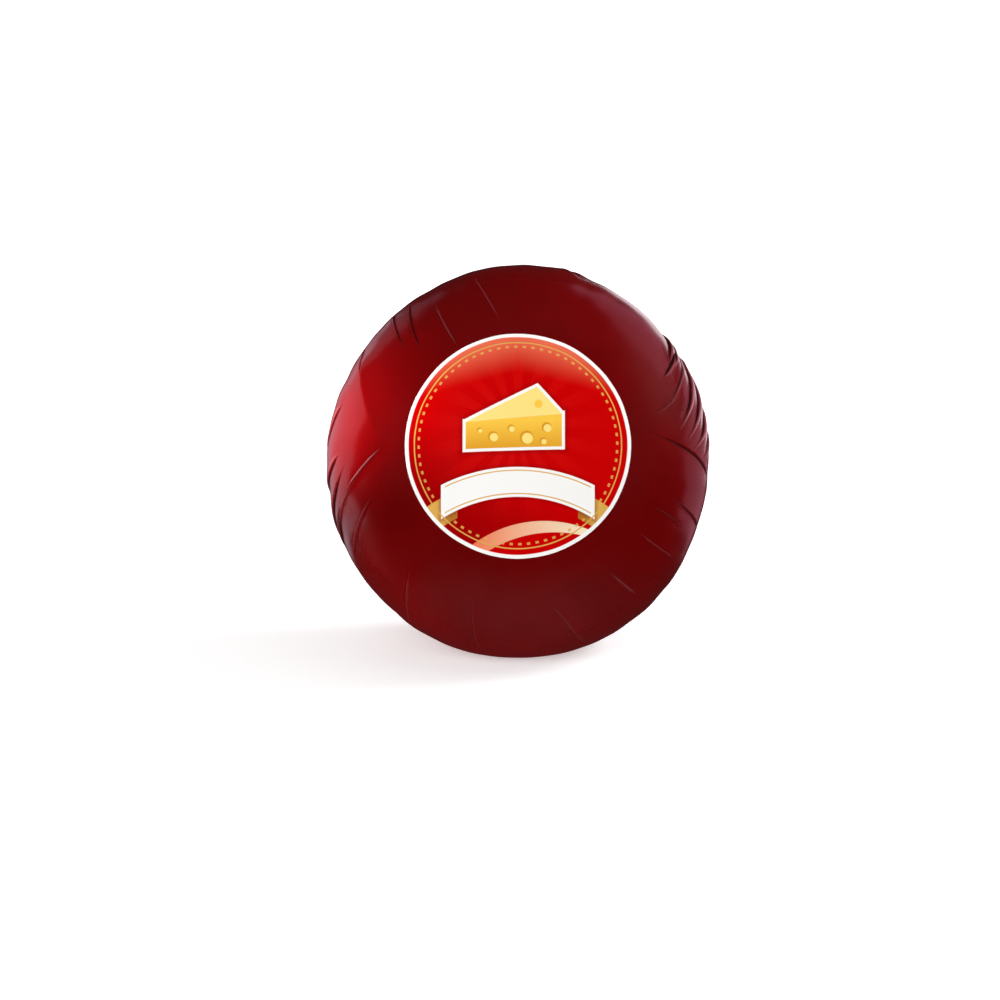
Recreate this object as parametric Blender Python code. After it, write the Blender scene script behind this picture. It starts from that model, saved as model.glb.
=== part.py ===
"""A whole ball of cheese, tightly wrapped in red film, with a round paper label on its front.

The ball is a soft superellipsoid. Its own axis runs out through the label, tilted up a little from
the front (-Y). The film's folds are low steps along short arcs round the label, and behind the ball
it is gathered in a pinwheel of pleats that are pressed into the middle. The ball rests on a small
flat spot at z = 0. Metres, +Z up, origin in the middle of that spot.
"""

import math

import bmesh
import bpy
import numpy as np

# Driving dimensions
BALL_WIDTH = 0.1486
BALL_HEIGHT = 0.1542  # across the ball, before its foot is pressed flat
BALL_DEPTH = 0.1380  # along the label's axis
FULLNESS = 2.3  # 2 is an ellipsoid; more makes the front and the back flatter
LABEL_TILT = math.radians(14)  # how far the label's axis points up from the front
FOOT_PRESS = 0.0045  # how much of the underside is pressed flat
FOOT_SMOOTH = math.radians(24)  # how far round the foot the folds are pressed out
LABEL_RADIUS = 0.0412
LABEL_THICKNESS = 0.0004
LABEL_GAP = 0.0003

# Slight flats and swellings: clock angle and reach from the label in degrees, height, spread
SWELLINGS = (
    (73, 84, 0.0012, 5),
    (87, 86, 0.0009, 6),
    (52, 88, 0.0007, 11),
    (31, 87, 0.0009, 5),
    (14, 84, 0.0003, 8),
    (355, 90, 0.0004, 7),
    (122, 88, -0.0011, 18),
    (144, 87, -0.0009, 10),
    (170, 86, 0.0004, 12),
    (205, 95, 0.0006, 16),
    (318, 96, 0.0006, 16),
)

# Folds of the film. Each runs from its inner end to its outer end, given as clock angle (degrees,
# counterclockwise from the right) and reach from the label's centre (degrees). Then come its bow,
# the height of its step and the width that the raised side takes to sink back.
FOLDS = (
    (177, 41, 205, 88, 0.0010, 0.0008, 0.010),
    (150, 64, 177, 43, -0.0015, 0.0006, 0.016),
    (163, 60, 176, 104, 0.0010, 0.0007, 0.009),
    (180, 63, 190, 100, 0.0000, 0.0006, 0.006),
    (183, 60, 203, 92, -0.0010, 0.0008, 0.008),
    (197, 48, 212, 80, 0.0000, 0.0006, 0.012),
    (138, 46, 125, 96, -0.0020, 0.0008, 0.010),
    (138, 39, 118, 80, -0.0015, 0.0008, 0.009),
    (121, 37, 116, 70, 0.0010, 0.0005, 0.008),
    (100, 40, 105, 98, 0.0000, 0.0006, 0.012),
    (70, 66, 82, 104, 0.0010, 0.0008, 0.010),
    (28, 54, 44, 102, -0.0010, 0.0010, 0.010),
    (15, 46, 34, 90, 0.0015, 0.0008, 0.008),
    (13, 58, 26, 88, 0.0000, 0.0006, 0.005),
    (6, 62, 22, 96, 0.0000, 0.0007, 0.005),
    (8, 37, 353, 90, 0.0045, 0.0010, 0.014),
    (343, 54, 337, 92, 0.0000, 0.0007, 0.010),
    (324, 42, 327, 84, -0.0010, 0.0006, 0.012),
    (304, 44, 312, 86, 0.0010, 0.0006, 0.012),
    (281, 47, 292, 84, 0.0010, 0.0006, 0.012),
    (252, 43, 262, 84, -0.0010, 0.0007, 0.010),
    (226, 46, 240, 90, 0.0010, 0.0007, 0.011),
)
FOLD_EDGE = 0.0030  # how wide the steep side of a fold is

# The gathered back
PLEATS = 16
PLEAT_STOPS = (0.0, 0.22, 0.44, 0.66, 0.84, 0.94)  # where the net's columns cross a pleat
PLEAT_CREST = 0.84
PLEAT_HEIGHT = 0.0016
PLEAT_TWIST = math.radians(46)
PLEAT_START = math.radians(96)
PLEAT_FULL = math.radians(138)
DIMPLE_DEPTH = 0.0035
DIMPLE_SPREAD = math.radians(13)

ROWS_UNDER_LABEL = 5
ROWS_ROUND_BALL = 37
LABEL_COLUMNS = 64
LABEL_RINGS = 6

HALF_WIDTH = BALL_WIDTH / 2
HALF_HEIGHT = BALL_HEIGHT / 2
HALF_DEPTH = BALL_DEPTH / 2
MEAN_RADIUS = (HALF_WIDTH + HALF_HEIGHT + HALF_DEPTH) / 3


def smooth_step(low, high, value):
    """0 below low, 1 above high, and an S-curve between."""
    part = np.clip((value - low) / (high - low), 0, 1)
    return part * part * (3 - 2 * part)


def direction(clock, reach):
    """Unit vectors (right, up, front) at a clock angle and a reach from the label's axis."""
    return np.stack((np.sin(reach) * np.cos(clock), np.sin(reach) * np.sin(clock), np.cos(reach)), -1)


def plain_radius(towards):
    """The superellipsoid's radius along unit vectors."""
    right, up, front = np.moveaxis(towards, -1, 0)
    round_about = np.hypot(right / HALF_WIDTH, up / HALF_HEIGHT) ** FULLNESS
    return (round_about + np.abs(front / HALF_DEPTH) ** FULLNESS) ** (-1 / FULLNESS)


def swelling(towards):
    """The sum of the soft bumps and flats, each a bell over the angle from its middle."""
    total = np.zeros(towards.shape[:-1])
    for clock, reach, height, spread in SWELLINGS:
        middle = direction(math.radians(clock), math.radians(reach))
        angle = np.arccos(np.clip(towards @ middle, -1, 1))
        total += height * np.exp(-((angle / math.radians(spread)) ** 2))
    return total


def fold(towards, inner, outer, bow, height, width):
    """One fold: a step along the arc between two unit vectors, sinking back over its width."""
    across = np.cross(inner, outer)
    length = math.asin(np.linalg.norm(across))
    across /= np.linalg.norm(across)
    along = np.arctan2(towards @ np.cross(across, inner), towards @ inner) / length
    offset = MEAN_RADIUS * np.arcsin(towards @ across) - bow * 4 * along * (1 - along)
    rise = smooth_step(-FOLD_EDGE / 2, FOLD_EDGE / 2, offset)
    sink = np.exp(-np.clip(offset, 0, None) / width)
    ends = smooth_step(0, 0.2, along) * (1 - smooth_step(0.75, 1, along))
    near = smooth_step(0, 0.3, towards @ (inner + outer) / 2)
    return height * rise * sink * ends * near


def folds(towards):
    total = np.zeros(towards.shape[:-1])
    for clock_in, reach_in, clock_out, reach_out, bow, height, width in FOLDS:
        inner = direction(math.radians(clock_in), math.radians(reach_in))
        outer = direction(math.radians(clock_out), math.radians(reach_out))
        total += fold(towards, inner, outer, bow, height, width)
    return total


def pleat_edges():
    """The clock angles at which the pleats begin, unevenly spaced round the back."""
    step = 2 * math.pi / PLEATS
    number = np.arange(PLEATS + 1)
    return step * (number + 0.3 * np.sin(5 * step * number))


def column_angles():
    """The net's columns: each pleat is crossed at the same fractions of its own width."""
    edges = pleat_edges()
    widths = np.diff(edges)
    return (edges[:-1, None] + widths[:, None] * np.array(PLEAT_STOPS)).ravel()


def pleats(column, reach):
    """Pleats over the back: each rises slowly to its crest and drops at once to the next one."""
    edges = pleat_edges()
    index = np.clip(np.searchsorted(edges, column, side="right") - 1, 0, PLEATS - 1)
    part = (column - edges[index]) / (edges[index + 1] - edges[index])
    saw = np.where(part < PLEAT_CREST, part / PLEAT_CREST, (1 - part) / (1 - PLEAT_CREST))
    start = PLEAT_START + math.radians(9) * np.sin(1.7 * index)
    grow = smooth_step(start, PLEAT_FULL, reach)
    near_middle = smooth_step(0, math.radians(16), math.pi - reach)
    height = PLEAT_HEIGHT * (1 + 0.3 * np.sin(2.9 * index))
    return height * saw * grow * near_middle


def pressed(towards):
    """0 on the foot, where the film is pressed smooth, and 1 away from it."""
    foot = direction(-math.pi / 2, math.pi / 2 + LABEL_TILT)
    angle = np.arccos(np.clip(towards @ foot, -1, 1))
    return smooth_step(FOOT_SMOOTH / 2, FOOT_SMOOTH * 1.5, angle)


def twist(reach):
    """The pleats lean round the back's middle, so the net leans with them."""
    return PLEAT_TWIST * smooth_step(PLEAT_START - 0.3, math.pi, reach)


def centre_height():
    """The ball's centre above the floor: its lowest reach when tilted, less the pressed foot."""
    power = FULLNESS / (FULLNESS - 1)
    up_part = (HALF_HEIGHT * math.cos(LABEL_TILT)) ** power
    front_part = (HALF_DEPTH * math.sin(LABEL_TILT)) ** power
    return (up_part + front_part) ** (1 / power) - FOOT_PRESS


def place(points):
    """Turns (right, up, front) into the world's axes and lifts the ball onto its foot."""
    right, up, front = np.moveaxis(points, -1, 0)
    cosine, sine = math.cos(LABEL_TILT), math.sin(LABEL_TILT)
    return np.stack((right, up * sine - front * cosine, up * cosine + front * sine + centre_height()), -1)


def label_surface(across, clock, lift):
    """Points over the ball's front, at a distance from its axis, raised along its normal."""
    right = across * np.cos(clock)
    up = across * np.sin(clock)
    share = np.hypot(right / HALF_WIDTH, up / HALF_HEIGHT)
    share = np.maximum(share, 1e-9)
    front = HALF_DEPTH * (1 - share**FULLNESS) ** (1 / FULLNESS)
    steep = HALF_DEPTH * share ** (FULLNESS - 2) * (1 - share**FULLNESS) ** (1 / FULLNESS - 1)
    normal = np.stack((steep * right / HALF_WIDTH**2, steep * up / HALF_HEIGHT**2, np.ones_like(front)), -1)
    normal /= np.linalg.norm(normal, axis=-1, keepdims=True)
    return np.stack((right, up, front), -1) + lift * normal


def ring_faces(first, second, columns):
    """Quads between two rings of points, given by the index of each ring's first point."""
    column = np.arange(columns)
    following = (column + 1) % columns
    return np.stack((first + column, second + column, second + following, first + following), -1).tolist()


def fan_faces(middle, ring, columns, outward):
    """Triangles from one point to a ring."""
    column = np.arange(columns)
    following = (column + 1) % columns
    pair = (ring + column, ring + following) if outward else (ring + following, ring + column)
    return np.stack((np.full(columns, middle), *pair), -1).tolist()


def make_object(name, points, faces, material):
    mesh = bpy.data.meshes.new(name)
    mesh.from_pydata(points.tolist(), [], faces)
    mesh.materials.append(material)
    mesh.shade_smooth()
    item = bpy.data.objects.new(name, mesh)
    bpy.context.scene.collection.objects.link(item)
    return item


def make_material(name, colour, roughness, coat):
    material = bpy.data.materials.new(name)
    material.use_nodes = True
    shader = material.node_tree.nodes["Principled BSDF"]
    shader.inputs["Base Color"].default_value = (*colour, 1)
    shader.inputs["Roughness"].default_value = roughness
    shader.inputs["Metallic"].default_value = 0
    shader.inputs["Coat Weight"].default_value = coat
    return material


def press_foot(item):
    """Cuts the underside off at z = 0 and closes it with one flat face."""
    net = bmesh.new()
    net.from_mesh(item.data)
    everything = net.verts[:] + net.edges[:] + net.faces[:]
    cut = bmesh.ops.bisect_plane(
        net, geom=everything, plane_co=(0, 0, 0), plane_no=(0, 0, 1), clear_inner=True
    )
    rim = [piece for piece in cut["geom_cut"] if isinstance(piece, bmesh.types.BMEdge)]
    bmesh.ops.remove_doubles(net, verts=list({vert for edge in rim for vert in edge.verts}), dist=0.0004)
    rim = [edge for edge in net.edges if edge.is_boundary]
    bmesh.ops.edgeloop_fill(net, edges=rim)
    bmesh.ops.recalc_face_normals(net, faces=net.faces[:])
    net.to_mesh(item.data)
    net.free()


def make_ball():
    """The wrapped ball: a polar net round the label's axis, with folds, pleats and a pressed foot."""
    edge_reach = math.atan2(LABEL_RADIUS, 0.0600)
    front_rows = np.linspace(0, edge_reach, ROWS_UNDER_LABEL + 1)[1:]
    other_rows = np.linspace(edge_reach, math.pi, ROWS_ROUND_BALL + 1)[1:-1]
    rows = np.concatenate((front_rows, other_rows))
    columns = column_angles()
    reach, column = np.meshgrid(rows, columns, indexing="ij")
    towards = direction(column + twist(reach), reach)
    dimple = DIMPLE_DEPTH * np.exp(-(((math.pi - reach) / DIMPLE_SPREAD) ** 2))
    relief = folds(towards) + pleats(column, reach) + swelling(towards)
    radius = plain_radius(towards) + relief * pressed(towards) - dimple
    net = (radius[..., None] * towards).reshape(-1, 3)
    poles = np.array([(0, 0, HALF_DEPTH), (0, 0, DIMPLE_DEPTH - HALF_DEPTH)])
    points = place(np.concatenate((net, poles)))
    count = len(columns)
    faces = fan_faces(len(net), 0, count, outward=True)
    for row in range(len(rows) - 1):
        faces += ring_faces(row * count, (row + 1) * count, count)
    faces += fan_faces(len(net) + 1, len(net) - count, count, outward=False)
    film = make_material("red film", (0.14, 0.002, 0.004), 0.3, 0.6)
    press_foot(make_object("cheese_ball", points, faces, film))


def make_label():
    """The label: a thin disc that follows the ball's front a hair's breadth above the film."""
    rings = np.linspace(0, LABEL_RADIUS, LABEL_RINGS + 1)[1:]
    clocks = np.linspace(0, 2 * math.pi, LABEL_COLUMNS, endpoint=False)
    across, clock = np.meshgrid(rings, clocks, indexing="ij")
    skins = []
    for lift in (LABEL_GAP + LABEL_THICKNESS, LABEL_GAP):
        skins.append(label_surface(across, clock, lift).reshape(-1, 3))
        skins.append(label_surface(np.zeros(1), np.zeros(1), lift))
    points = place(np.concatenate(skins))
    count = LABEL_COLUMNS
    skin = LABEL_RINGS * count + 1
    faces = fan_faces(skin - 1, 0, count, outward=True)
    faces += fan_faces(2 * skin - 1, skin, count, outward=False)
    for ring in range(LABEL_RINGS - 1):
        faces += ring_faces(ring * count, (ring + 1) * count, count)
        faces += ring_faces(skin + (ring + 1) * count, skin + ring * count, count)
    faces += ring_faces((LABEL_RINGS - 1) * count, skin + (LABEL_RINGS - 1) * count, count)
    paper = make_material("printed paper", (0.56, 0.005, 0.005), 0.45, 0.2)
    make_object("label", points, faces, paper)


for leftover in list(bpy.data.objects):
    bpy.data.objects.remove(leftover)

make_ball()
make_label()
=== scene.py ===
import math
import bpy
import numpy as np
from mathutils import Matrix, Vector


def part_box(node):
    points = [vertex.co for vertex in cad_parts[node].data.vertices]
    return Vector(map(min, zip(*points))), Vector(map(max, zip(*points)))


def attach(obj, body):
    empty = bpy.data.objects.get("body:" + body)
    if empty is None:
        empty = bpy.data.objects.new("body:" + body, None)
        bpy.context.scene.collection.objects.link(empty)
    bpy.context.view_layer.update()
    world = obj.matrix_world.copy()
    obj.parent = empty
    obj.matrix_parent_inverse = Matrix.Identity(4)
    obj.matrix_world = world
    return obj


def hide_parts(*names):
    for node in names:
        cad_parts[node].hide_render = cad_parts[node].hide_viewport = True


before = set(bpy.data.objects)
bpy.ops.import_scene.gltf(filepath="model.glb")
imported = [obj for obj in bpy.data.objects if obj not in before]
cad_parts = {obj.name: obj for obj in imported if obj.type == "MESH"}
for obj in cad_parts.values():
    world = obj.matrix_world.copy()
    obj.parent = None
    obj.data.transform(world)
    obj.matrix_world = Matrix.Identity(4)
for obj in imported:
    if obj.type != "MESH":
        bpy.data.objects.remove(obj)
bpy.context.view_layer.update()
print("frame: nodes", sorted(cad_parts))

# the ball's own axes are right, up and front; front runs out through the label's middle
ball = dict(
    tilt=math.radians(14),  # front leans up by this much
    foldStand=0.00048,  # how far the folds reach past the plain ball at its sides
    heightShare=1.0377,  # half height and half depth, as shares of the half width
    depthShare=0.9287,
    fullness=2.3,  # 2 is an ellipsoid, more is flatter in front and behind
    footPress=0.0045,  # how much of the lowest part is pressed flat
    footSmooth=math.radians(24),  # how far round the foot the film is pressed smooth
    footEdge=0.0008,  # how softly the foot turns up into the side
    labelDepth=0.06,  # about how far in front of the middle the label's rim lies
    foldsFrom=(0.95, 1.12),  # folds come up between these shares of the label rim's reach
    rows=(8, 96, 74),  # under the label, from its rim past the widest girth, and behind
    closeRowsFrom=0.92,  # where the second of them begins, as a share of the rim's reach
    girth=math.radians(105),
    columnsInPleat=35,
    crowding=0.09,  # how much the columns crowd at the pleats' edges
    pleatColumnsFrom=(1.2, 1.9),  # reaches, in radians, between which columns turn to the pleats
)
boxLow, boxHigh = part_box("cheese_ball")
halfWidth = (boxHigh.x - boxLow.x) / 2 - ball["foldStand"]
halfHeight = halfWidth * ball["heightShare"]
halfDepth = halfWidth * ball["depthShare"]
meanRadius = (halfWidth + halfHeight + halfDepth) / 3
labelLow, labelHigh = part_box("label")
labelRadius = (labelHigh.x - labelLow.x) / 2

# soft flats and swellings: clock and reach of the middle in degrees, height, spread in degrees
swellings = (
    (73, 84, 0.0012, 5),
    (87, 86, 0.0009, 6),
    (52, 88, 0.0007, 11),
    (31, 87, 0.0009, 5),
    (14, 84, 0.0003, 8),
    (355, 90, 0.0004, 7),
    (122, 88, -0.0011, 18),
    (144, 87, -0.0009, 10),
    (170, 86, 0.0004, 12),
    (205, 95, 0.0006, 16),
    (318, 96, 0.0006, 16),
)
# folds of the film: clock and reach of one end, then of the other, in degrees, then the bow, the
# step's height, how far the raised left-hand side takes to sink back, the half width in mm of the
# groove at the step's foot at either end, how dark the groove's painted shade is and how strong the
# painted highlight on the edge beside it
folds = (
    (178, 87, 162, 63, 0.0004, 0.0005, 0.006, 1.0, 0.5, 1.0, 0.1),
    (190, 90, 179, 61, -0.0004, 0.0006, 0.006, 1.2, 0.6, 1.3, 0.12),
    (206, 102, 182, 57, -0.0024, 0.0006, 0.006, 1.6, 0.6, 1.3, 0.05),
    (208, 88, 195, 65, 0.0000, 0.0005, 0.004, 1.0, 0.4, 1.0, 0.0),
    (193, 61, 179, 42, 0.0000, 0.0004, 0.008, 0.3, 0.2, 0.5, 0.25),
    (206, 86, 188, 52, -0.0005, 0.0003, 0.010, 0.8, 0.3, 0.5, 0.05),
    (212, 76, 197, 48, 0.0000, 0.0004, 0.012, 0.5, 0.3, 0.2, 0.1),
    (155, 57, 142, 78, 0.0000, 0.0003, 0.005, 0.3, 0.4, 0.9, 0.0),
    (139, 47, 130, 76, -0.0001, 0.0003, 0.006, 0.3, 0.4, 1.1, 0.0),
    (136, 40, 124, 72, 0.0006, 0.0003, 0.006, 0.3, 0.35, 1.1, 0.0),
    (121, 34, 119, 58, 0.0003, 0.0001, 0.006, 0.25, 0.25, 0.4, 0.12),
    (97, 38, 104, 66, 0.0006, 0.0001, 0.008, 0.25, 0.25, 0.3, 0.1),
    (70, 66, 82, 104, 0.0010, 0.0006, 0.010, 0.5, 0.8, 0.3, 0.0),
    (50, 110, 28, 58, -0.0012, 0.0009, 0.006, 1.5, 0.6, 1.8, 0.2),
    (34, 74, 26, 52, 0.0002, 0.0006, 0.006, 1.1, 0.3, 1.6, 0.15),
    (41, 94, 28, 61, 0.0000, 0.0005, 0.004, 1.1, 0.4, 1.3, 0.4),
    (36, 87, 15, 49, 0.0000, 0.0005, 0.006, 0.9, 0.3, 1.0, 0.1),
    (20, 58, 13, 42, 0.0003, 0.0002, 0.006, 0.4, 0.2, 0.5, 0.05),
    (11, 55, 20, 63, 0.0000, 0.0002, 0.003, 0.3, 0.5, 0.6, 0.0),
    (41, 99, 5, 52, 0.0006, 0.0010, 0.007, 1.1, 0.4, 1.2, 0.5),
    (41, 106, 1, 55, 0.0012, 0.0010, 0.007, 1.2, 0.4, 1.2, 0.6),
    (34, 107, 359, 58, 0.0036, 0.0010, 0.007, 1.2, 0.4, 1.2, 0.6),
    (30, 112, 357, 66, 0.0030, 0.0009, 0.007, 1.2, 0.5, 1.1, 0.5),
    (7, 39, 353, 86, 0.0014, 0.0003, 0.012, 0.3, 1.0, 1.0, 0.0),
    (343, 50, 339, 84, 0.0002, 0.0003, 0.008, 0.2, 0.8, 0.7, 0.03),
    (337, 45, 336, 64, 0.0001, 0.0002, 0.006, 0.2, 0.3, 0.5, 0.03),
    (325, 44, 327, 72, -0.0008, 0.0002, 0.010, 0.3, 0.3, 0.15, 0.06),
    (306, 48, 310, 66, 0.0002, 0.0002, 0.008, 0.3, 0.3, 0.1, 0.1),
    (281, 48, 290, 80, 0.0010, 0.0003, 0.012, 0.3, 0.4, 0.3, 0.03),
    (252, 45, 260, 80, -0.0010, 0.0004, 0.010, 0.3, 0.4, 0.4, 0.02),
    (226, 48, 238, 88, 0.0010, 0.0004, 0.011, 0.3, 0.5, 0.4, 0.03),
)
foldLook = dict(
    fade=0.3,  # share of its length over which a fold comes up, and dies away
    thinEnds=0.35,  # the groove's width at a faded end, as a share of its width
    edge=0.0012,  # least width of a step
    edgeInGrooves=1.6,  # and its width beside a broad groove, in half widths of the groove
    dip=0.6,  # the dip before a step, as a share of the step's height
    dipWidth=0.003,
    lineReach=(3.2, 5),  # half widths from the line between which its painted shade and painted highlight end
    groups=8,
    apart=(0.002, 0.006),  # lines of one group that come closer than this fade out
    fadedLate=0.03,  # a faded line counts as this much farther off
)
# ridges, and valleys with a height below 0, where the film is drawn tight between its folds: the
# two ends and the bow as above, the height, and the widths of the left-hand and right-hand slopes
ridges = (
    (177, 43, 148, 65, -0.0005, 0.0019, 0.014, 0.008),
    (206, 84, 179, 43, -0.0002, 0.0005, 0.010, 0.004),
    (192, 57, 178, 40, 0.0006, -0.0006, 0.002, 0.006),
    (174, 34, 194, 60, 0.0010, -0.0005, 0.004, 0.004),
)
ridgeEnds = dict(rise=(-0.15, 0.25), sink=(0.75, 1.15))  # in shares of the length
# the gathered film behind, drawn in to one point
gather = dict(
    pleats=16,
    crest=0.9,  # where in a pleat its flap is highest, just before it drops
    hollow=1.4,  # 1 is a straight rise to the crest, more is a hollow one
    height=0.0016,
    start=math.radians(96),
    full=math.radians(138),
    unevenWidth=0.3,  # how much the pleats differ, and where they begin
    unevenHeight=0.3,
    unevenStart=math.radians(9),
    middleSmooth=math.radians(16),  # pleats die away this close to the middle of the back
    twist=math.radians(46),
    twistLead=0.3,  # radians that the twist begins before the pleats
    dimple=0.0035,
    dimpleSpread=math.radians(13),
    grooveWidth=0.0004,
    # strength of the painted highlight beside each pleat's groove
    paintedHighlightOnEdge=0.3,
)
ripple = dict(
    height=0.00005,
    waves=26,
    seed=11,
    crests=(9, 46),  # round the ball
    drift=3,  # how far round a wave goes, at most, for each radian away from the label
    middles=(0.7, 2.6),  # reaches, in radians, where a wave is strongest
    spread=0.5,
    comeUp=(0.6, 1.3),
)


def smoothStep(low, high, value):  # 0 below low, 1 above high, an S-curve between
    part = np.clip((value - low) / (high - low), 0, 1)
    return part * part * (3 - 2 * part)


# unit vector (right, up, front) from a clock angle round the label and a reach away from it
def direction(clock, reach):
    away = np.sin(reach)
    return np.stack((away * np.cos(clock), away * np.sin(clock), np.cos(reach)), -1)


# radius along a unit vector, where the right-up share and the front share, each to the power of
# the fullness, add up to one
def plainRadius(towards):
    right, up, front = np.moveaxis(towards, -1, 0)
    sideways = np.hypot(right / halfWidth, up / halfHeight) ** ball["fullness"]
    return (sideways + np.abs(front / halfDepth) ** ball["fullness"]) ** (-1 / ball["fullness"])


# sum of bells, each falling off with the square of the angle from its middle
def swelling(towards):
    total = np.zeros(towards.shape[:-1])
    for clock, reach, height, spread in swellings:
        middle = direction(math.radians(clock), math.radians(reach))
        angle = np.arccos(np.clip(towards @ middle, -1, 1))
        total += height * np.exp(-((angle / math.radians(spread)) ** 2))
    return total


# how far along (0 to 1) and across (in metres, to the left) a bowed great circle between two
# ends, and how near: 0 on the other side of the ball
def alongAndAcross(towards, clockFrom, reachFrom, clockTo, reachTo, bow):
    first = direction(math.radians(clockFrom), math.radians(reachFrom))
    last = direction(math.radians(clockTo), math.radians(reachTo))
    side = np.cross(first, last)
    length = math.asin(np.linalg.norm(side))
    side /= np.linalg.norm(side)
    along = np.arctan2(towards @ np.cross(side, first), towards @ first) / length
    across = meanRadius * np.arcsin(towards @ side) - bow * 4 * along * (1 - along)
    near = smoothStep(0, 0.3, towards @ (first + last) / 2)
    return along, across, near


# a tent over the line, falling off on each side with the exponential of the distance
def ridgeRelief(towards):
    total = np.zeros(towards.shape[:-1])
    for *ends, height, leftWidth, rightWidth in ridges:
        along, across, near = alongAndAcross(towards, *ends)
        slope = np.exp(-np.abs(across) / np.where(across > 0, leftWidth, rightWidth))
        keep = smoothStep(*ridgeEnds["rise"], along) * (1 - smoothStep(*ridgeEnds["sink"], along))
        total += height * slope * near * keep
    return total


def lineStrength(distance):  # 1 at a line, 0 from some half widths of its groove away
    return 1 - smoothStep(*foldLook["lineReach"], np.abs(distance))


# A fold is a step up to the left of its line that falls off softly, and a dip before the step.
# Neighbouring folds go to different groups, so that each group's lines stay apart.
def foldFields(towards):
    relief = np.zeros(towards.shape[:-1])
    nearest = np.full((foldLook["groups"],) + relief.shape, 1.0)
    second = np.full_like(nearest, 1.0)
    lines = np.zeros(nearest.shape + (3,))  # distance in half widths, strength of the painted shade in the groove and of the painted highlight beside it
    for number, (*ends, height, band, widthFrom, widthTo, paintedShade, pale) in enumerate(folds):
        along, across, near = alongAndAcross(towards, *ends)
        fade, thin = foldLook["fade"], foldLook["thinEnds"]
        keep = near * smoothStep(0, fade, along) * (1 - smoothStep(1 - fade, 1, along))
        width = 0.001 * (widthFrom + (widthTo - widthFrom) * np.clip(along, 0, 1))
        width *= thin + (1 - thin) * keep
        edge = np.maximum(foldLook["edge"], foldLook["edgeInGrooves"] * width) / 2
        rise = smoothStep(-edge, edge, across)
        fall = np.exp(-((np.clip(across, 0, None) / band) ** 2))
        dip = foldLook["dip"] * np.exp(-np.abs(across) / foldLook["dipWidth"]) * (1 - rise)
        relief += height * keep * (rise * fall - dip)
        group = number % foldLook["groups"]
        score = np.abs(across) + foldLook["fadedLate"] * (1 - keep)
        closer = score < nearest[group]
        second[group] = np.where(closer, nearest[group], np.minimum(second[group], score))
        nearest[group] = np.where(closer, score, nearest[group])
        shown = keep * lineStrength(across / width)
        # the groove's painted shade and the edge's painted highlight, faded towards the fold's ends
        line = np.stack((across / width, paintedShade * shown, pale * shown), -1)
        lines[group] = np.where(closer[..., None], line, lines[group])
    lines[..., 1:] *= smoothStep(*foldLook["apart"], second - nearest)[..., None]
    return relief, lines


# clock angles where the pleats begin: even steps, moved on and back by five waves round the ball
def pleatEdges():
    step = 2 * math.pi / gather["pleats"]
    number = np.arange(gather["pleats"] + 1)
    return step * (number + gather["unevenWidth"] * np.sin(5 * step * number))


# each pleat rises slowly to the crest of its flap and drops at once to the next one; also how
# far over that drop a point lies, in metres, and how far the pleats have grown
def pleatFields(column, reach):
    edges = pleatEdges()
    index = np.clip(np.searchsorted(edges, column, side="right") - 1, 0, gather["pleats"] - 1)
    width = edges[index + 1] - edges[index]
    part = (column - edges[index]) / width
    rising = (part / gather["crest"]) ** gather["hollow"]
    dropping = (1 - part) / (1 - gather["crest"])
    saw = np.where(part < gather["crest"], rising, dropping)
    start = gather["start"] + gather["unevenStart"] * np.sin(1.7 * index)
    grow = smoothStep(start, gather["full"], reach)
    height = gather["height"] * (1 + gather["unevenHeight"] * np.sin(2.9 * index))
    nearMiddle = smoothStep(0, gather["middleSmooth"], math.pi - reach)
    overEdge = (part - (1 + gather["crest"]) / 2) * width * np.sin(reach) * meanRadius
    return height * saw * grow * nearMiddle, overEdge, grow


def twist(reach):  # how far round the columns are turned, most at the middle of the back
    return gather["twist"] * smoothStep(gather["start"] - gather["twistLead"], math.pi, reach)


def pressed(towards):  # 0 on the foot, where the film is pressed smooth
    foot = direction(-math.pi / 2, math.pi / 2 + ball["tilt"])
    angle = np.arccos(np.clip(towards @ foot, -1, 1))
    return smoothStep(ball["footSmooth"] / 2, ball["footSmooth"] * 1.5, angle)


# the tilted ball's lowest reach, less what its foot is pressed flat by
def centreHeight():
    power = ball["fullness"] / (ball["fullness"] - 1)
    upPart = (halfHeight * math.cos(ball["tilt"])) ** power
    frontPart = (halfDepth * math.sin(ball["tilt"])) ** power
    return (upPart + frontPart) ** (1 / power) - ball["footPress"]


def place(points):  # from right, up and front to the world's axes
    right, up, front = np.moveaxis(points, -1, 0)
    cosine, sine = math.cos(ball["tilt"]), math.sin(ball["tilt"])
    height = up * cosine + front * sine + centreHeight()
    return np.stack((right, up * sine - front * cosine, height), -1)


# tension ripples: sine waves round the ball that drift with the reach, strongest behind
def ripples(column, reach):
    draw = np.random.default_rng(ripple["seed"])
    total = np.zeros_like(column)
    for wave in range(ripple["waves"]):
        count = draw.integers(*ripple["crests"])
        drift = draw.uniform(-ripple["drift"], ripple["drift"])
        phase = draw.uniform(0, 2 * math.pi)
        middle = draw.uniform(*ripple["middles"])
        near = np.exp(-(((reach - middle) / ripple["spread"]) ** 2))
        total += np.sin(count * column + drift * reach + phase) * near
    return ripple["height"] * total * smoothStep(*ripple["comeUp"], reach)


def gridFaces(rows, columns):  # quads of a net whose columns close round
    index = np.arange(rows * columns).reshape(rows, columns)
    following = np.roll(index, -1, axis=1)
    return np.stack((index[:-1], index[1:], following[1:], following[:-1]), -1).reshape(-1, 4)


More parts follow.
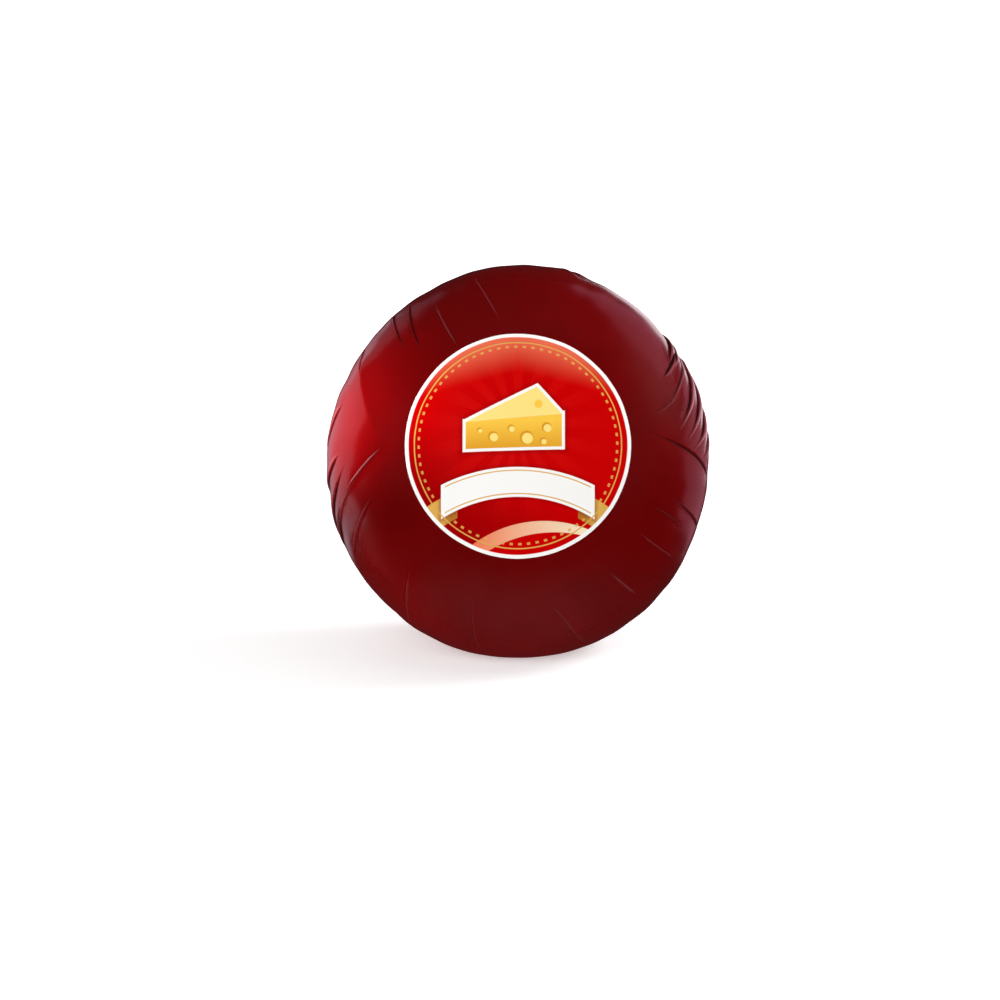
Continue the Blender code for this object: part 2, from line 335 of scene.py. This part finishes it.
def makeMesh(name, points, quads, fans):
    mesh = bpy.data.meshes.new(name)
    corners = np.concatenate((quads.ravel(), fans.ravel()))
    sizes = np.concatenate((np.full(len(quads), 4), np.full(len(fans), 3)))
    mesh.vertices.add(len(points))
    mesh.vertices.foreach_set("co", points.astype(np.float32).ravel())
    mesh.loops.add(len(corners))
    mesh.loops.foreach_set("vertex_index", corners.astype(np.int32))
    mesh.polygons.add(len(sizes))
    starts = np.concatenate(((0,), np.cumsum(sizes)[:-1]))
    mesh.polygons.foreach_set("loop_start", starts.astype(np.int32))
    mesh.update(calc_edges=True)
    mesh.validate()
    mesh.shade_smooth()
    piece = bpy.data.objects.new(name, mesh)
    bpy.context.scene.collection.objects.link(piece)
    return piece


def poleFans(firstPole, secondPole, rows, columns):  # triangles that close both ends of the net
    index = np.arange(columns)
    following = np.roll(index, -1)
    last = (rows - 1) * columns
    front = np.stack((np.full(columns, firstPole), index, following), -1)
    back = np.stack((np.full(columns, secondPole), last + following, last + index), -1)
    return np.concatenate((front, back))


# a vector on each point of the net, then on its two poles
def addVector(piece, name, values, frontValue, backValue):
    attribute = piece.data.attributes.new(name, "FLOAT_VECTOR", "POINT")
    flat = np.concatenate((values.ravel(), frontValue, backValue))
    attribute.data.foreach_set("vector", flat.astype(np.float32))


def ballRows(rimReach):  # the rows' reaches, without the pole itself
    stops = (0, rimReach * ball["closeRowsFrom"], ball["girth"], math.pi)
    spans = []
    for low, high, count in zip(stops[:-1], stops[1:], ball["rows"]):
        spans.append(np.linspace(low, high, count, endpoint=False))
    return np.concatenate(spans)[1:]


def pleatColumns():  # the columns' clock angles behind, where they crowd at the pleats' edges
    edges = pleatEdges()
    share = np.arange(ball["columnsInPleat"]) / ball["columnsInPleat"]
    crowded = share - ball["crowding"] * np.sin(2 * math.pi * share)
    return (edges[:-1, None] + np.diff(edges)[:, None] * crowded).ravel()


# a net over reach and clock: the plain radius and every relief on it, along its own direction
def makeBall():
    rimReach = math.atan2(labelRadius, ball["labelDepth"])
    rows = ballRows(rimReach)
    pleated = pleatColumns()
    even = np.linspace(0, 2 * math.pi, len(pleated), endpoint=False)
    reach, index = np.meshgrid(rows, np.arange(len(pleated)), indexing="ij")
    behind = smoothStep(*ball["pleatColumnsFrom"], reach)
    column = (1 - behind) * even[index] + behind * pleated[index]
    towards = direction(column + twist(reach), reach)
    relief, lines = foldFields(towards)
    relief += ridgeRelief(towards)
    foldsFrom, foldsFull = ball["foldsFrom"]
    relief *= smoothStep(rimReach * foldsFrom, rimReach * foldsFull, reach)
    pleatRelief, overEdge, grow = pleatFields(column, reach)
    relief += pleatRelief + swelling(towards) + ripples(column, reach)
    dimple = gather["dimple"] * np.exp(-(((math.pi - reach) / gather["dimpleSpread"]) ** 2))
    radius = plainRadius(towards) + relief * pressed(towards) - dimple
    net = (radius[..., None] * towards).reshape(-1, 3)
    poles = np.array([(0, 0, halfDepth), (0, 0, gather["dimple"] - halfDepth)])
    points = place(np.concatenate((net, poles)))
    height = points[:, 2]
    points[:, 2] = (height + np.hypot(height, ball["footEdge"])) / 2  # nothing goes below the floor
    fans = poleFans(len(net), len(net) + 1, len(rows), len(pleated))
    piece = makeMesh("film_wrapped_ball", points, gridFaces(len(rows), len(pleated)), fans)

    # each pleat's edge gets a groove with painted shade and a weaker painted highlight
    fromEdge = overEdge / gather["grooveWidth"]
    onPleat = grow * lineStrength(fromEdge)
    pleatLines = np.stack((fromEdge, onPleat, gather["paintedHighlightOnEdge"] * onPleat), -1)
    grain = np.stack((np.cos(column), np.sin(column), reach), -1)
    plain = (20, 0, 0)  # far from any line
    for group, line in enumerate(lines):
        addVector(piece, f"folds{group}", line, plain, plain)
    addVector(piece, "pleats", pleatLines, plain, plain)
    addVector(piece, "grain", grain, (0, 0, 0), (0, 0, math.pi))
    return piece


label = dict(
    lift=0.00040,  # how far the paper's face stands off the film
    sink=0.00005,  # how far its back reaches into it
    edge=0.00015,  # its edge's rounding
    edgeRings=4,
    rings=64,
    columns=256,
    ripple=0.00007,
    rippleFrom=0.6,  # share of the radius where the ripples begin
    waves=((7, 0.6, 1), (11, 2.1, 1), (19, 0, 0.7)),  # crests round the rim, phase, share
)


# the ball's front as a height over right and up, raised along its normal
def overFront(right, up, lift):
    share = np.maximum(np.hypot(right / halfWidth, up / halfHeight), 1e-9)
    power = ball["fullness"]
    front = halfDepth * (1 - share**power) ** (1 / power)
    steep = halfDepth * share ** (power - 2) * (1 - share**power) ** (1 / power - 1)
    sideways = steep * right / halfWidth**2
    upwards = steep * up / halfHeight**2
    normal = np.stack((sideways, upwards, np.ones_like(front)), -1)
    normal /= np.linalg.norm(normal, axis=-1, keepdims=True)
    return np.stack((right, up, front), -1) + lift[..., None] * normal


# rings on the face, round the edge by a quarter circle, then two on the back, each lifted off the
# ball's front; a few sine waves round the rim ripple the face
def makeLabel():
    turn = np.linspace(0, math.pi / 2, label["edgeRings"] + 1)[1:]
    face = np.linspace(0, labelRadius - label["edge"], label["rings"] + 1)[1:]
    rounding = labelRadius - label["edge"] * (1 - np.sin(turn))
    across = np.concatenate((face, rounding, (labelRadius, 0.5 * labelRadius)))
    lift = np.concatenate((
        np.full(len(face), label["lift"]),
        label["lift"] - label["edge"] * (1 - np.cos(turn)),
        (-label["sink"], -label["sink"]),
    ))
    clocks = np.linspace(0, 2 * math.pi, label["columns"], endpoint=False)
    distance, clock = np.meshgrid(across, clocks, indexing="ij")
    lifts = np.broadcast_to(lift[:, None], distance.shape)
    wave = sum(share * np.sin(count * clock + phase) for count, phase, share in label["waves"])
    towardsRim = smoothStep(label["rippleFrom"], 1, distance / labelRadius)
    lifts = lifts + label["ripple"] * wave * towardsRim * (lifts > 0)
    right, up = distance * np.cos(clock), distance * np.sin(clock)
    net = overFront(right, up, lifts).reshape(-1, 3)
    poles = overFront(np.zeros(2), np.zeros(2), np.array((label["lift"], -label["sink"])))
    points = place(np.concatenate((net, poles)))
    fans = poleFans(len(net), len(net) + 1, len(across), label["columns"])
    piece = makeMesh("paper_label", points, gridFaces(len(across), label["columns"]), fans)
    flat = np.concatenate((np.stack((right, up), -1).reshape(-1, 2), np.zeros((2, 2))))
    flat = flat / (2 * labelRadius) + 0.5
    corner = np.zeros(len(piece.data.loops), np.int32)
    piece.data.loops.foreach_get("vertex_index", corner)
    layer = piece.data.uv_layers.new(name="face")
    layer.data.foreach_set("uv", flat[corner].astype(np.float32).ravel())
    return piece


class Wire:  # a socket that takes part in Python sums, each adding its Math node
    def __init__(self, finish, socket):
        self.finish = finish
        self.socket = socket

    def maths(self, operation, first, second=0.0):
        return self.finish.node("Math", {"operation": operation}, {0: first, 1: second})

    def __add__(self, other):
        return self.maths("ADD", self, other)

    def __sub__(self, other):
        return self.maths("SUBTRACT", self, other)

    def __mul__(self, other):
        return self.maths("MULTIPLY", self, other)

    def __pow__(self, other):
        return self.maths("POWER", self, other)

    def __rsub__(self, other):
        return self.maths("SUBTRACT", other, self)

    def __abs__(self):
        return self.maths("ABSOLUTE", self)

    __radd__ = __add__
    __rmul__ = __mul__

    def least(self, other):
        return self.maths("MINIMUM", self, other)

    def most(self, other):
        return self.maths("MAXIMUM", self, other)

    def root(self):
        return self.maths("SQRT", self)

    def step(self, low, high):  # an S-curve from 0 at low to 1 at high
        settings = {"interpolation_type": "SMOOTHSTEP"}
        values = {"Value": self, "From Min": low, "From Max": high}
        return self.finish.node("MapRange", settings, values)


class Finish:  # a material and its nodes
    def __init__(self, name):
        self.material = bpy.data.materials.new(name)
        self.material.use_nodes = True
        self.tree = self.material.node_tree
        self.shader = self.tree.nodes["Principled BSDF"]

    def plug(self, socket, value):
        if isinstance(value, Wire):
            self.tree.links.new(value.socket, socket)
        elif socket.type == "RGBA":
            socket.default_value = (*value, 1)
        else:
            socket.default_value = value

    def node(self, kind, settings, values, out=0):
        made = self.tree.nodes.new("ShaderNode" + kind)
        for name, value in settings.items():
            setattr(made, name, value)
        for name, value in values.items():
            self.plug(made.inputs[name], value)
        return Wire(self, made.outputs[out])

    def set(self, **values):
        for name, value in values.items():
            self.plug(self.shader.inputs[name.replace("_", " ")], value)

    def vector(self, name):
        return self.node("Attribute", {"attribute_name": name}, {}, "Vector")

    def axes(self, vector):
        split = self.node("SeparateXYZ", {}, {0: vector})
        return [Wire(self, socket) for socket in split.socket.node.outputs]

    def joined(self, x, y, z):
        return self.node("CombineXYZ", {}, {0: x, 1: y, 2: z})

    def noise(self, vector, scale, detail):
        values = {"Vector": vector, "Scale": scale, "Detail": detail, "Roughness": 0.5}
        return self.node("TexNoise", {}, values)

    def mixed(self, share, first, second):  # inputs 6 and 7 and output 2 are the Mix node's colours
        settings = {"data_type": "RGBA", "clamp_factor": True}
        return self.node("Mix", settings, {"Factor": share, 6: first, 7: second}, 2)

    def bumped(self, height, millimetres=1.0):
        values = {"Height": height, "Distance": 0.001 * millimetres, "Strength": 1.0}
        return self.node("Bump", {}, values)


def ink(*parts):  # a printer's colour, three numbers up to 255, as light
    light = []
    for part in parts:
        share = part / 255
        light.append(((share + 0.055) / 1.055) ** 2.4 if share > 0.04 else share / 12.92)
    return tuple(light)


film = dict(
    deep=(0.120, 0.0002, 0.0006),
    bright=(0.160, 0.0004, 0.0010),
    # painted shade: the dark red laid into the fold and pleat grooves
    paintedShade=(0.012, 0.0, 0.0),
    # painted highlight: the pale pink laid on the edge beside each groove
    pale=(0.80, 0.40, 0.45),
    blotches=38.0,  # the red's unevenness: how fine, where it starts and how strong
    blotchFrom=0.35,
    blotchShare=1.6,
    gloss=0.21,  # roughness, and how much the waves change it
    glossVaries=0.08,
    dullest=0.9,
    looseFrom=(0.6, 1.9),  # reaches, in radians, between which the film hangs looser
    # two sizes of creases, drawn out away from the label: how many round and along, the noise's
    # detail, and their height in mm where the film is tight and what looseness adds
    creases=((7.0, 2.4, 2.0, 0.05, 0.15), (24.0, 7.0, 3.0, 0.008, 0.05)),
    grooveAt=-0.6,  # in half widths from a fold's line, to the right
    grooveSoft=0.9,
    grooveDepth=0.12,  # mm
    grooveDull=0.6,
    beadAt=1.2,  # the edge beside the groove, which carries a painted highlight
    beadNarrow=0.8,
    beadHeight=0.08,  # mm
    paintedHighlightShare=0.8,
)


# stretched noise for creases; along each fold's line a groove darkened with painted shade, and a
# bead that may carry a painted highlight
def filmFinish():
    finish = Finish("red film")
    around, over, reach = finish.axes(finish.vector("grain"))
    loose = reach.step(*film["looseFrom"])
    waves, heights = [], []
    for turns, along, detail, tightHeight, looseHeight in film["creases"]:
        grain = finish.joined(around * turns, over * turns, reach * along)
        waves.append(finish.noise(grain, 1.0, detail) - 0.5)
        heights.append(waves[-1] * (tightHeight + looseHeight * loose))
    height = heights[0] + heights[1]
    blotch = finish.noise(finish.node("TexCoord", {}, {}, "Object"), film["blotches"], 3.0)
    uneven = (blotch - film["blotchFrom"]) * film["blotchShare"]
    shade = finish.mixed(uneven, film["deep"], film["bright"])
    roughness = film["gloss"] + film["glossVaries"] * waves[0]
    for name in [f"folds{group}" for group in range(foldLook["groups"])] + ["pleats"]:
        distance, paintedShade, pale = finish.axes(finish.vector(name))
        grooveWithPaintedShade = (1 - abs(distance - film["grooveAt"])).most(0.0)
        grooveWithPaintedShade = grooveWithPaintedShade.step(0.0, film["grooveSoft"]) * paintedShade
        beadWithPaintedHighlight = (1 - abs(distance - film["beadAt"]) * film["beadNarrow"]).most(0.0).step(0.0, 1.0)
        height = height + beadWithPaintedHighlight * paintedShade.most(pale) * film["beadHeight"]
        height = height - grooveWithPaintedShade * film["grooveDepth"]
        # painted highlight pales the bead's colour
        shade = finish.mixed(beadWithPaintedHighlight * pale * film["paintedHighlightShare"], shade, film["pale"])
        # painted shade darkens the groove's colour
        shade = finish.mixed(grooveWithPaintedShade, shade, film["paintedShade"])
        roughness = roughness + grooveWithPaintedShade * film["grooveDull"]
    finish.set(
        Base_Color=shade,
        Roughness=roughness.least(film["dullest"]),
        Metallic=0.0,
        IOR=1.5,
        Normal=finish.bumped(height),
    )
    return finish.material


art = dict(
    red=ink(200, 0, 2),
    # painted sheen: the salmon laid over the label's top
    glow=ink(240, 118, 86),
    ray=ink(214, 14, 10),
    shade=ink(140, 0, 4),
    white=ink(252, 250, 247),
    cream=ink(250, 232, 196),
    gold=ink(222, 172, 84),
    bronze=ink(176, 116, 44),
    cheese=ink(255, 204, 74),
    cheeseTop=ink(255, 228, 132),
    hole=ink(224, 152, 34),
    orange=ink(236, 96, 44),
)
# places and sizes on the label in mm from its middle, right and up; circles as middle and radius
layout = dict(
    shadeFrom=(6, 44),  # darker towards the lower left
    shadeShare=0.75,
    sun=(0, 6),
    rays=17,
    raysEnd=(12, 38),
    rayShare=0.5,
    # painted sheen towards the top of the label: where it starts and how strong it is
    glowFrom=(26, 44),
    paintedSheenShare=0.9,
    hill=(10, -74, 46),
    hillCut=(14, -81, 49),
    wedgeTop=((-19, 8), (16, 11), (7, 21)),
    wedgeSide=((-19, -2), (16, -1), (16, 11), (-19, 8)),
    wedgeEnds=(-20.1, 17.1),  # the white border's left and right
    wedgeBorder=1.1,
    wedgeShadow=(1.2, 0.45),  # width and strength
    holes=(
        (-9, 2.6, 1.9),
        (-2.5, 5.6, 1.3),
        (3.2, 2.2, 2.5),
        (10.5, 6, 1.8),
        (9.2, 1, 1.2),
        (-14, 5, 0.9),
    ),
    holeLight=(0.3, -0.35, 0.8),  # a lit disc in each hole: moved by this, this share of its size
    topHole=(7.5, 14.6, 1.5),
    ribbon=(0, -74, 60),
    ribbonHalf=(28.0, 5.4),  # half length and half width
    ribbonLine=(26.6, 4.2, 0.22),  # the gold line along it, then the line's own half width
    ribbonShadow=(0.9, 0.5),
    tail=(22.0, 33.0),  # how far out the folded-back ends of the ribbon begin and stop
    tailDrop=3.4,
    tailHalf=4.6,
    tailFold=(28.5, 24.0),
    ring=(3.6, 0.22),  # in from the edge, half width
    dotRing=(5.2, 0.42),
    dots=72,
    dotShare=0.8,
    dotsClear=1.5,  # no dots this close to the ribbon
    rim=1.4,
)
paperLook = dict(
    roughness=0.42,
    fibreVaries=0.1,
    shine=0.02,
    fibres=0.9,
    fibreHeight=0.03,  # mm
)


# the print is laid in layers, each over the last where a signed distance in mm is below 0
def paperFinish():
    finish = Finish("printed paper")
    radius = labelRadius * 1000
    u, v, _ = finish.axes(finish.node("UVMap", {"uv_map": "face"}, {}))
    x = (u - 0.5) * (2 * radius)
    y = (v - 0.5) * (2 * radius)
    fromMiddle = (x * x + y * y).root()

    def inside(edge, soft=0.12):  # 1 where a signed distance is below 0, 0 outside
        return 1 - edge.step(-soft, soft)

    def disc(cx, cy, size):
        return ((x - cx) ** 2.0 + (y - cy) ** 2.0).root() - size

    def turned(cx, cy):  # the angle round a place, in radians
        return finish.node("Math", {"operation": "ARCTAN2"}, {0: y - cy, 1: x - cx})

    def wave(angle):
        return finish.node("Math", {"operation": "SINE"}, {0: angle})

    def polygon(*corners):  # convex, counterclockwise: the farthest of the distances past its sides
        edge = None
        for (ax, ay), (bx, by) in zip(corners, corners[1:] + corners[:1]):
            length = math.hypot(bx - ax, by - ay)
            nx, ny = (by - ay) / length, (ax - bx) / length
            side = x * nx + y * ny - (ax * nx + ay * ny)
            edge = side if edge is None else edge.most(side)
        return edge

    def lay(share, over):  # one more layer of print
        nonlocal colour
        colour = finish.mixed(share, colour, over)

    red, white, gold = art["red"], art["white"], art["gold"]
    towardsLowLeft = (0 - x * 0.6 - y).step(*layout["shadeFrom"])
    colour = finish.mixed(towardsLowLeft * layout["shadeShare"], red, art["shade"])
    sun = layout["sun"]
    rays = wave(turned(*sun) * layout["rays"]).step(-0.2, 0.2)
    lay(rays * layout["rayShare"] * (1 - disc(*sun, 0).step(*layout["raysEnd"])), art["ray"])
    # painted sheen: salmon towards the top
    lay((y + abs(x) * 0.25).step(*layout["glowFrom"]) * layout["paintedSheenShare"], art["glow"])
    lay(inside(disc(*layout["hill"])), finish.mixed(x * 0.022 + 0.45, art["orange"], art["cream"]))
    lay(inside(disc(*layout["hillCut"])), red)

    top = polygon(*layout["wedgeTop"])
    side = polygon(*layout["wedgeSide"])
    left, right = layout["wedgeEnds"]
    outline = (top.least(side) - layout["wedgeBorder"]).most(left - x).most(x - right)
    width, share = layout["wedgeShadow"]
    lay(inside(outline - width, width) * share, art["shade"])
    lay(inside(outline), white)
    lay(inside(side), finish.mixed(y * 0.08 + 0.3, art["hole"], art["cheese"]))
    lay(inside(top), art["cheeseTop"])
    aside, below, smaller = layout["holeLight"]
    for cx, cy, size in layout["holes"]:
        lay(inside(disc(cx, cy, size)), art["hole"])
        lay(inside(disc(cx + aside, cy + below, size * smaller)), art["cheeseTop"])
    lay(inside(disc(*layout["topHole"])), art["cheese"])

    cx, cy, ribbonRadius = layout["ribbon"]
    bend = disc(cx, cy, 0) - ribbonRadius
    fromEnds = abs(x)
    tail = abs(bend + layout["tailDrop"]) - layout["tailHalf"]
    tail = tail.most(fromEnds - layout["tail"][1]).most(layout["tail"][0] - fromEnds)
    lay(inside(tail), finish.mixed(fromEnds.step(*layout["tailFold"]), gold, art["bronze"]))
    halfLength, halfBreadth = layout["ribbonHalf"]
    band = (abs(bend) - halfBreadth).most(fromEnds - halfLength)
    width, share = layout["ribbonShadow"]
    lay(inside(band - width, width) * share, art["shade"])
    lay(inside(band), white)
    lineEnd, lineAway, lineHalf = layout["ribbonLine"]
    line = (abs(abs(bend) - lineAway) - lineHalf).most(fromEnds - lineEnd)
    lay(inside(line), gold)

    ringIn, ringHalf = layout["ring"]
    lay(inside(abs(fromMiddle - (radius - ringIn)) - ringHalf), gold)
    dots = wave(turned(0, 0) * layout["dots"]).step(0.2, 0.5)
    dotsIn, dotsHalf = layout["dotRing"]
    dots = inside(abs(fromMiddle - (radius - dotsIn)) - dotsHalf) * dots
    lay(dots * (1 - inside(band - layout["dotsClear"])) * layout["dotShare"], gold)
    lay((fromMiddle - (radius - layout["rim"])).step(-0.15, 0.15), white)

    fibre = finish.noise(finish.joined(x, y, 0.0), paperLook["fibres"], 4.0)
    finish.set(
        Base_Color=colour,
        Roughness=paperLook["roughness"] + paperLook["fibreVaries"] * (fibre - 0.5),
        Specular_IOR_Level=paperLook["shine"],
        Normal=finish.bumped(fibre, paperLook["fibreHeight"]),
    )
    return finish.material


def dress(piece, material, node):
    piece.data.materials.append(material)
    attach(piece, "root")
    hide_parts(node)


wrapped = makeBall()
dress(wrapped, filmFinish(), "cheese_ball")
print("ball:", len(wrapped.data.vertices), "points")
paper = makeLabel()
dress(paper, paperFinish(), "label")
print("label:", len(paper.data.vertices), "points")

studio = dict(
    flat=1.3,  # the floor is flat out to here, then sweeps up all round
    sweep=1.0,
    sweepRings=24,
    wall=2.6,
    columns=96,
    pale=(0.90, 0.90, 0.90),
    glow=(0.45, 0.45, 0.45),  # under the ball, so that its shadow shows
    farGlow=(1.0, 1.0, 1.0),
    glowFrom=0.25,
    glowTo=0.9,
)


# a turned profile: flat floor, quarter circle, wall
def makeStudio():
    flat, sweep, columns = studio["flat"], studio["sweep"], studio["columns"]
    turn = np.linspace(0, math.pi / 2, studio["sweepRings"] + 1)[1:]
    across = np.concatenate(((flat,), flat + sweep * np.sin(turn), (flat + sweep,)))
    height = np.concatenate(((0,), sweep * (1 - np.cos(turn)), (studio["wall"],)))
    clocks = np.linspace(0, 2 * math.pi, columns, endpoint=False)
    distance, clock = np.meshgrid(across, clocks, indexing="ij")
    heights = np.broadcast_to(height[:, None], distance.shape)
    net = np.stack((distance * np.cos(clock), distance * np.sin(clock), heights), -1).reshape(-1, 3)
    points = np.concatenate((net, ((0, 0, 0),)))
    index = np.arange(columns)
    fan = np.stack((np.full(columns, len(net)), index, np.roll(index, -1)), -1)
    floor = makeMesh("studio_floor", points, gridFaces(len(across), columns), fan)
    finish = Finish("pale floor")
    x, y, _ = finish.axes(finish.node("TexCoord", {}, {}, "Object"))
    away = (x * x + y * y).root().step(studio["glowFrom"], studio["glowTo"])
    finish.set(
        Base_Color=studio["pale"],
        Roughness=0.9,
        Emission_Color=finish.mixed(away, studio["glow"], studio["farGlow"]),
        Emission_Strength=1.0,
    )
    floor.data.materials.append(finish.material)
    floor.visible_glossy = False
    floor.visible_diffuse = False
    floor.visible_shadow = False


# a ring of equal windows and those after it light the film evenly and aren't seen in its gloss
plainWhite = (1.0, 1.0, 1.0)
ring = dict(count=6, away=1.5, up=0.45, size=(1.4, 1.1), watts=4.6)
windows = dict(
    topWindow=dict(at=(0.0, 0.0, 1.7), size=(2.0, 2.0), watts=8, colour=plainWhite),
    floorGlow=dict(at=(0.0, 0.0, -0.8), size=(1.5, 1.5), watts=13, colour=plainWhite),
    leftWindow=dict(at=(-1.00, 0.50, -0.40), size=(0.5, 0.5), watts=10.0, colour=(1.0, 0.98, 0.96)),
    rightWindow=dict(at=(1.00, 0.30, 0.60), size=(0.6, 0.6), watts=12, colour=(0.96, 0.97, 1.0)),
    front=dict(at=(-0.30, -1.15, 0.50), size=(0.7, 0.7), watts=8.5, colour=plainWhite),
)
# the panels are only seen in the gloss
panels = dict(
    leftPanel=dict(at=(-0.87, 0.84, 0.05), size=(1.3, 0.82), watts=1.5, colour=(1.0, 0.84, 1.0)),
    leftHighPanel=dict(at=(-0.62, 0.85, 0.66), size=(0.5, 0.4), watts=0.1, colour=(1.0, 0.8, 1.0)),
    highPanel=dict(at=(0.70, 0.73, 0.69), size=(0.8, 0.7), watts=0.75, colour=(1.0, 0.42, 0.62)),
    backPanel=dict(at=(0.36, 1.18, 0.15), size=(0.36, 0.50), watts=0.85, colour=(1.0, 0.84, 0.92)),
    rightPanel=dict(at=(0.85, 0.84, -0.05), size=(1.0, 0.6), watts=0.80, colour=(1.0, 0.40, 0.55)),
)
# a narrow spot warms the left cheek
spot = dict(
    at=(-1.10, -0.16, 0.02),
    aim=(-0.056, -0.028, 0.096),
    cone=math.radians(3.8),
    soft=0.014,
    watts=212,
)
air = dict(colour=(1.0, 1.0, 1.0, 1.0), strength=0.015)


def hangLamp(name, kind, place, aim, watts, colour, seen):
    data = bpy.data.lights.new(name, kind)
    data.energy = watts
    data.color = colour
    item = bpy.data.objects.new(name, data)
    item.location = place
    item.visible_glossy = seen
    item.visible_diffuse = not seen
    item.visible_camera = False
    item.rotation_euler = (Vector(aim) - Vector(place)).to_track_quat("-Z", "Y").to_euler()
    bpy.context.scene.collection.objects.link(item)
    return data


def hangWindow(name, seen, at, size, watts, colour):  # turned to the middle of the ball
    data = hangLamp(name, "AREA", at, (0, 0, centreHeight()), watts, colour, seen)
    data.shape = "RECTANGLE"
    data.size, data.size_y = size


def lightStudio():
    for number in range(ring["count"]):
        turn = 2 * math.pi * (number + 0.5) / ring["count"]
        place = (ring["away"] * math.cos(turn), ring["away"] * math.sin(turn), ring["up"])
        hangWindow(f"ring{number}", False, place, ring["size"], ring["watts"], plainWhite)
    for name, lamp in windows.items():
        hangWindow(name, False, **lamp)
    for name, lamp in panels.items():
        hangWindow(name, True, **lamp)
    data = hangLamp("cheekSpot", "SPOT", spot["at"], spot["aim"], spot["watts"], plainWhite, False)
    data.spot_size = spot["cone"]
    data.spot_blend = 1.0
    data.shadow_soft_size = spot["soft"]
    world = bpy.data.worlds.new("studio")
    world.use_nodes = True
    world.node_tree.nodes["Background"].inputs["Color"].default_value = air["colour"]
    world.node_tree.nodes["Background"].inputs["Strength"].default_value = air["strength"]
    bpy.context.scene.world = world


shot = dict(
    lens=85,
    filmWidth=36,
    distance=0.930,
    elevation=math.radians(8),
    aimLeft=0.0070,
    aimDown=0.0145,
    nearest=0.05,
)


def placeCamera():
    data = bpy.data.cameras.new("camera")
    data.lens = shot["lens"]
    data.sensor_width = shot["filmWidth"]
    data.clip_start = shot["nearest"]
    camera = bpy.data.objects.new("camera", data)
    back = Vector((0, -math.cos(shot["elevation"]), math.sin(shot["elevation"])))
    up = Vector((0, math.sin(shot["elevation"]), math.cos(shot["elevation"])))
    middle = Vector((0, 0, centreHeight()))
    camera.location = middle + back * shot["distance"]
    aim = middle - Vector((shot["aimLeft"], 0, 0)) - up * shot["aimDown"]
    camera.rotation_euler = (aim - camera.location).to_track_quat("-Z", "Y").to_euler()
    bpy.context.scene.collection.objects.link(camera)
    bpy.context.scene.camera = camera


makeStudio()
lightStudio()
placeCamera()
bpy.context.scene.view_settings.view_transform = "Standard"
print("studio, lamps and camera: done")
